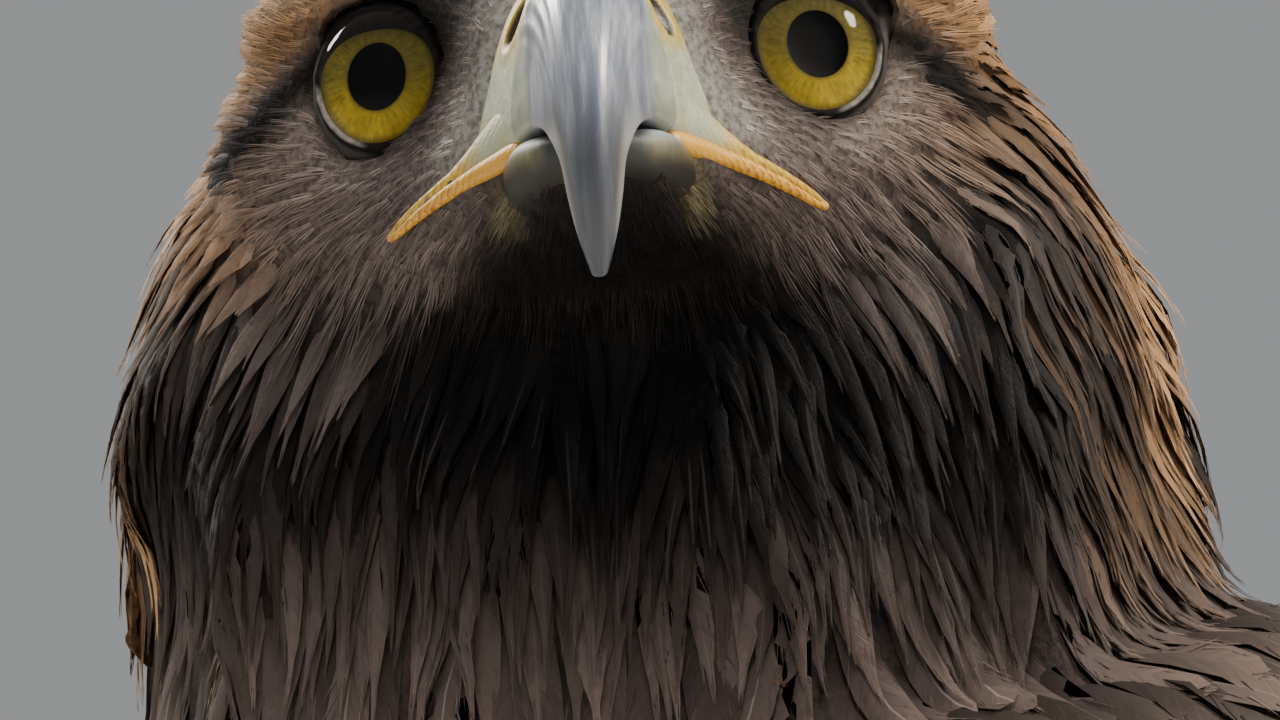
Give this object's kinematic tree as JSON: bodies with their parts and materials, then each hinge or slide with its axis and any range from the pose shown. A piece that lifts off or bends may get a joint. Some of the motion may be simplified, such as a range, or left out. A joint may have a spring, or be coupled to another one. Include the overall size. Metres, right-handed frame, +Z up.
{
  "type": "golden eagle",
  "caption": "Standing golden eagle, whole and life-size, with folded wings and its head turned to its left.",
  "frame": {"origin": "on the floor under the middle of the bird's box, measured from bill to tail and from wing to wing", "axes": "+Z up, -Y the way the breast faces, +X the bird's left; the head is turned towards +X"},
  "size_m": [0.2652, 0.5599, 0.627],
  "materials": {
    "crown_feather": "soft, matt feathers",
    "hackle_feather": "pointed feathers with a silky sheen",
    "body_feather": "matt feathers",
    "flight_feather": "stiff vanes with a slight sheen",
    "leg_feather": "soft, matt feathers",
    "cere": "waxy bare skin",
    "horn": "smooth horn with a soft gloss",
    "eye": "wet and glossy",
    "toe_skin": "scaly bare skin",
    "claw": "smooth black horn"
  },
  "bodies": {
    "root": {"head": "crown_feather", "cere": "cere", "upper_beak": "horn", "lower_beak": "horn", "eye_l": "eye", "eye_r": "eye", "neck": "hackle_feather", "torso": "body_feather", "wing_l_coverts": "body_feather", "wing_l_secondaries": "flight_feather", "wing_l_primaries": "flight_feather", "wing_r_coverts": "body_feather", "wing_r_secondaries": "flight_feather", "wing_r_primaries": "flight_feather", "thigh_l": "leg_feather", "thigh_r": "leg_feather", "shank_l": "leg_feather", "shank_r": "leg_feather", "foot_l": "toe_skin", "foot_r": "toe_skin", "claw_l_inner": "claw", "claw_l_middle": "claw", "claw_l_outer": "claw", "claw_l_hind": "claw", "claw_r_inner": "claw", "claw_r_middle": "claw", "claw_r_outer": "claw", "claw_r_hind": "claw", "tail": "flight_feather"}
  },
  "joints": []
}
